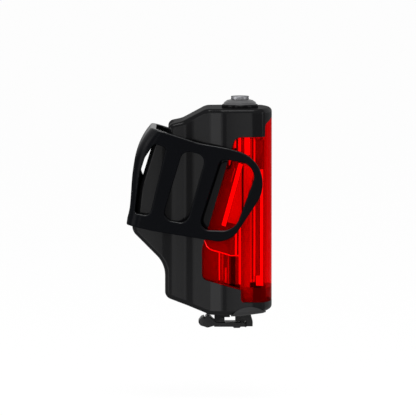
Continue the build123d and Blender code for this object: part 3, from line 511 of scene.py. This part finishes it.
# Each bar's places in x and z, its finish, and how far it stands proud of the plate
guide_bars = (
    ((28.2, 28.9), (-38.2, -18.2), guide_white_painted_glow, 0.9),
    ((27.9, 28.9), (5.9, 12.6), guide_white_painted_glow, 0.9),
    ((26.9, 27.5), (-28.1, -19.3), guide_white_painted_glow, 0.9),
    # A black bar among the white ones, painted shade for a dark stripe.
    ((25.5, 27.0), (-38.2, -28.6), inner_black, 1.1),
    ((27.05, 28.1), (-38.2, -28.6), guide_dark_painted_shade, 1.0),
    ((25.2, 26.8), (-28.1, -19.0), guide_dark_painted_shade, 0.8),
    ((24.4, 24.9), (-38.2, -28.6), guide_grey_painted_shade, 0.8),
    ((23.4, 24.1), (-37.6, -32.5), guide_pale_painted_shade, 0.7),
    ((22.3, 23.0), (-37.0, -27.6), guide_grey_painted_shade, 0.6),
    ((21.4, 21.8), (-36.8, -27.2), guide_white_painted_glow, 0.2),
    ((26.6, 27.3), (8.4, 12.6), guide_white_painted_glow, 0.8),
    ((25.6, 26.3), (8.0, 12.4), guide_grey_painted_shade, 0.7),
    ((29.1, 29.9), (-39.0, 4.5), guide_dim_painted_shade, 0.7),
    ((30.1, 32.0), (5.9, 12.4), guide_white_painted_glow, 0.7),
    ((29.1, 33.2), (-44.4, -39.3), guide_dark_painted_shade, 0.7),
)
leaning_bars = (
    ((25.2, 26.65), (-18.6, 3.4), guide_white_painted_glow, 0.9),
    ((26.75, 26.9), (-18.3, 3.4), guide_dim_painted_shade, 0.7),
    ((26.95, 31.4), (-17.8, 3.6), guide_pale_painted_shade, 0.7),
    ((26.0, 26.35), (-3.4, 1.6), guide_pale_painted_shade, 0.5),
)
bead = (
    (16.5, -23.2), (17.3, -25.2), (18.4, -26.2), (19.7, -26.7), (22.4, -27.4), (25.5, -28.4), (28.6, -28.4),
)


def on_guide(proud):
    """The depths between which a bar is rooted in the plate and stands proud of it."""
    return (-guide_face - proud, -guide_face + guide_root)


def make_guides():
    plate = copy_of("side_guide_near", "guide_plate")
    editing(plate)
    bpy.ops.mesh.bisect(
        plane_co=(0, -guide_face * mm, 0), plane_no=(0, -1, 0), clear_outer=True, use_fill=True
    )
    done_editing()
    # The plate in white plastic painted dark grey, painted shade.
    wear(plate, guide_dark_painted_shade)
    bars = [plate]
    for number, (x, z, finish, proud) in enumerate(guide_bars):
        bars.append(block(f"guide_bar_{number}", x, on_guide(proud), z, finish))
    for number, (x, z, finish, proud) in enumerate(leaning_bars):
        bars.append(block(f"guide_lean_{number}", x, on_guide(proud), z, finish, lean=guide_lean))
    for number, ((x, z), (far_x, far_z)) in enumerate(zip(bead, bead[1:])):
        half = hypot(far_x - x, far_z - z) / 2 + bead_overlap
        across, up = (x + far_x) / 2, (z + far_z) / 2
        long, high = (across - half, across + half), (up - bead_half, up + bead_half)
        lean = degrees(atan2(far_z - z, far_x - x))
        bars.append(block(f"guide_bead_{number}", long, on_guide(bead_proud), high, guide_white_painted_glow, lean=lean))
    near = join(bars, "guide_near")
    smooth(near, bar_angle)
    far = mirrored(near, "guide_far")
    fit(near, "body", "white_plastic", "side_guide_near")
    fit(far, "body", "white_plastic", "side_guide_far")


# Optic rails: strips that stand on the bezel beside the optic, white plastic painted bright with a painted
# glow and dark with painted shade
rail_depths = (-6.4, -5.2)
rail_edge = 0.06
rail_strips = (
    ((32.8, 33.1), (-37.4, 11.0), guide_dark_painted_shade),
    ((33.3, 33.8), (-35.6, 11.0), guide_white_painted_glow),
    ((33.9, 35.4), (-35.6, 11.0), guide_dim_painted_shade),
    ((36.6, 36.8), (-39.0, 11.0), guide_dark_painted_shade),
    ((35.6, 36.5), (-35.6, 0.8), guide_white_painted_glow),
    ((35.4, 36.5), (0.8, 11.0), guide_dim_painted_shade),
    ((34.1, 36.5), (-39.0, -35.6), guide_white_painted_glow),
)


def make_rails():
    strips = [
        block(f"rail_{number}", x, rail_depths, z, finish, edge=rail_edge)
        for number, (x, z, finish) in enumerate(rail_strips)
    ]
    near = join(strips, "optic_rail_near")
    smooth(near, bar_angle)
    far = mirrored(near, "optic_rail_far")
    for rail in (near, far):
        fit(rail, "body", "white_plastic")


# Liners behind the guides' edges: sheets of white plastic painted dark grey, painted shade in the gaps
liner_depths = (-9.66, -9.3)
liner_edge = 0.05
liner_sheets = (
    ((15.2, 25.5), (-38.0, -24.0)),
    ((15.8, 26.0), (-24.1, -19.0)),
    ((17.2, 26.0), (-19.1, -12.0)),
    ((20.0, 26.0), (-12.1, 1.0)),
)


def make_liners():
    sheets = [
        block(f"liner_{number}", x, liner_depths, z, guide_dark_painted_shade, edge=liner_edge)
        for number, (x, z) in enumerate(liner_sheets)
    ]
    near = join(sheets, "liner_near")
    far = mirrored(near, "liner_far")
    fit(near, "body", "white_plastic")
    fit(far, "body", "white_plastic")


# Hinge of the port cover: a rubber web that closes its slit, and a roll that joins both at any angle
web_places = ((30.43, 30.95), (-53.2, -51.9))
web_edge = 0.1
roll_places = ((30.18, 30.92), (-53.62, -52.88))
roll_edge = 0.3
web_inset = 0.3


def make_hinge():
    low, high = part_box("cover_anchor")
    half = (high.y - low.y) / 2 / mm - web_inset
    web, roll = (
        block(name, x, (-half, half), z, port_rubber, edge=edge)
        for name, (x, z), edge in (("web", web_places, web_edge), ("roll", roll_places, roll_edge))
    )
    fit(join([web, roll], "hinge_web"), "body", "rubber_black")


# Button cap: a turned silver cap with a chamfered foot, a groove and a rounded crown
cap_wall = ((0.15, 0), (0, 0.1), (0, 0.4), (0.14, 0.45), (0.14, 0.55), (0, 0.6))
cap_crown = ((0, 0.12), (0.12, 0))
cap_middle = 0.4


def make_cap():
    low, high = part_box("button_cap")
    foot, top = low.z / mm, high.z / mm
    radius = (high.x - low.x) / 2 / mm
    profile = [(radius - inset, foot + rise) for inset, rise in cap_wall]
    profile += [(radius - inset, top - drop) for inset, drop in cap_crown]
    profile.append((cap_middle, top))
    cap = turned("cap", (low.x + high.x) / 2 / mm, profile, cap_silver)
    fit(cap, "power_button", "cap_silver", "button_cap")


make_strap()
make_cover()
make_lens()
make_guides()
make_rails()
make_liners()
make_hinge()
make_cap()

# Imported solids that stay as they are, each with its finish
kept = {
    "rear_housing": housing_black,
    # The gasket wears the guides' white plastic painted dark grey, painted shade.
    "lens_gasket": guide_dark_painted_shade,
    "saddle_pad": strap_rubber,
    "chin_bumper": chin_rubber,
    "strap_pin": steel,
    "button_boot": boot_rubber,
    "button_stem": inner_black,
    "switch_plunger": inner_black,
    "switch_base": inner_black,
    "switch_board": board_green,
    "switch_screws": steel,
    "switch_flex": nickel,
    "led_board": board_green,
    "control_board": board_green,
    "board_spacers": aluminium,
    "board_link_pins": steel,
    "heat_spreader": aluminium,
    # The bezel in its white plastic painted grey, painted shade.
    "reflector_bezel": bezel_white_painted_shade,
    "bezel_screws": steel,
    "optic_strip": optic_clear,
    "battery_cell": cell_can,
    "battery_sleeve": sleeve_blue,
    "battery_tray": inner_black,
    "battery_strip_plus": nickel,
    "battery_strip_minus": nickel,
    "control_chip": chip_black,
    "charge_chip": chip_black,
    "driver_inductor": ferrite_grey,
    "capacitors": led_yellow,
    "usb_shell": steel,
    "usb_tongue": inner_black,
    **{f"led_{number}": led_yellow for number in range(1, 7)},
}
for node, finish in kept.items():
    solid = nodes[node]
    if not solid.material_slots:
        solid.data.materials.append(finish.material)
    for held in solid.material_slots:
        held.material = finish.material

# Studio: pale floor, white surroundings, soft lamps. Lengths in metres
floor_size = 6
floor_drop = 0.024
floor_shown = 0.96
white = (1, 1, 1)
seen_strength = 1.0
light_strength = 0.55
lamp_aim = 0.017
# Name, place, width, height, and radiance. The three panels stand close, for the upright bands on the housing
lamps = (
    ("panel_step", (-0.052, -0.16, -0.015), 0.026, 0.12, 4.8),
    ("panel_left", (-0.027, -0.16, -0.015), 0.014, 0.12, 2.5),
    ("panel_right", (0.047, -0.16, -0.015), 0.027, 0.12, 2.4),
    ("lamp_left", (-0.6, -0.3, 0.12), 0.36, 0.36, 6.0),
    ("lamp_right", (0.65, -0.3, 0.12), 0.3, 0.3, 4.0),
    ("lamp_above", (0.02, -0.2, 0.7), 0.35, 0.35, 10.0),
)


def add_lamp(name, place, width, height, radiance):
    """A soft lamp that looks at the middle of the light, level where it stands low."""
    lamp = bpy.data.lights.new(name, "AREA")
    lamp.shape = "RECTANGLE"
    lamp.size = width
    lamp.size_y = height
    lamp.energy = pi * radiance * lamp.size * lamp.size_y
    holder = bpy.data.objects.new(name, lamp)
    holder.location = place
    holder.rotation_mode = "QUATERNION"
    towards = Vector((lamp_aim, 0, min(place[2], 0.0))) - Vector(place)
    holder.rotation_quaternion = towards.to_track_quat("-Z", "Y")
    bpy.context.scene.collection.objects.link(holder)


def make_floor():
    """A pale floor that keeps the light's shadow, low enough for the opened port cover."""
    bpy.ops.mesh.primitive_plane_add(size=floor_size, location=(0, 0, cad_box[0].z - floor_drop))
    floor = bpy.context.object
    floor.name = "floor"
    finish = Finish("floor_pale", base_color=(0.9, 0.9, 0.9), roughness=0.9)
    seen = finish.node("LightPath", output="Is Camera Ray")
    glow = finish.node("Emission", inputs={"Color": white, "Strength": seen_strength})
    finish.instead(seen * floor_shown, glow)
    wear(floor, finish)


def make_surroundings():
    """White to the camera and in gloss and glass, and a softer white for all other light."""
    world = bpy.data.worlds.new("studio")
    bpy.context.scene.world = world
    world.use_nodes = True
    tree = world.node_tree
    path = tree.nodes.new("ShaderNodeLightPath")
    shown, light = tree.nodes["Background"], tree.nodes.new("ShaderNodeBackground")
    for background, strength in ((shown, seen_strength), (light, light_strength)):
        background.inputs["Color"].default_value = (*white, 1)
        background.inputs["Strength"].default_value = strength
    seen = path.outputs["Is Camera Ray"]
    for ray in ("Is Transmission Ray", "Is Glossy Ray"):
        either = tree.nodes.new("ShaderNodeMath")
        either.operation = "MAXIMUM"
        tree.links.new(seen, either.inputs[0])
        tree.links.new(path.outputs[ray], either.inputs[1])
        seen = either.outputs[0]
    mix = tree.nodes.new("ShaderNodeMixShader")
    for socket, source in enumerate((seen, light.outputs[0], shown.outputs[0])):
        tree.links.new(source, mix.inputs[socket])
    tree.links.new(mix.outputs[0], tree.nodes["World Output"].inputs["Surface"])


make_floor()
make_surroundings()
for lamp in lamps:
    add_lamp(*lamp)

bpy.context.scene.view_settings.view_transform = "Standard"
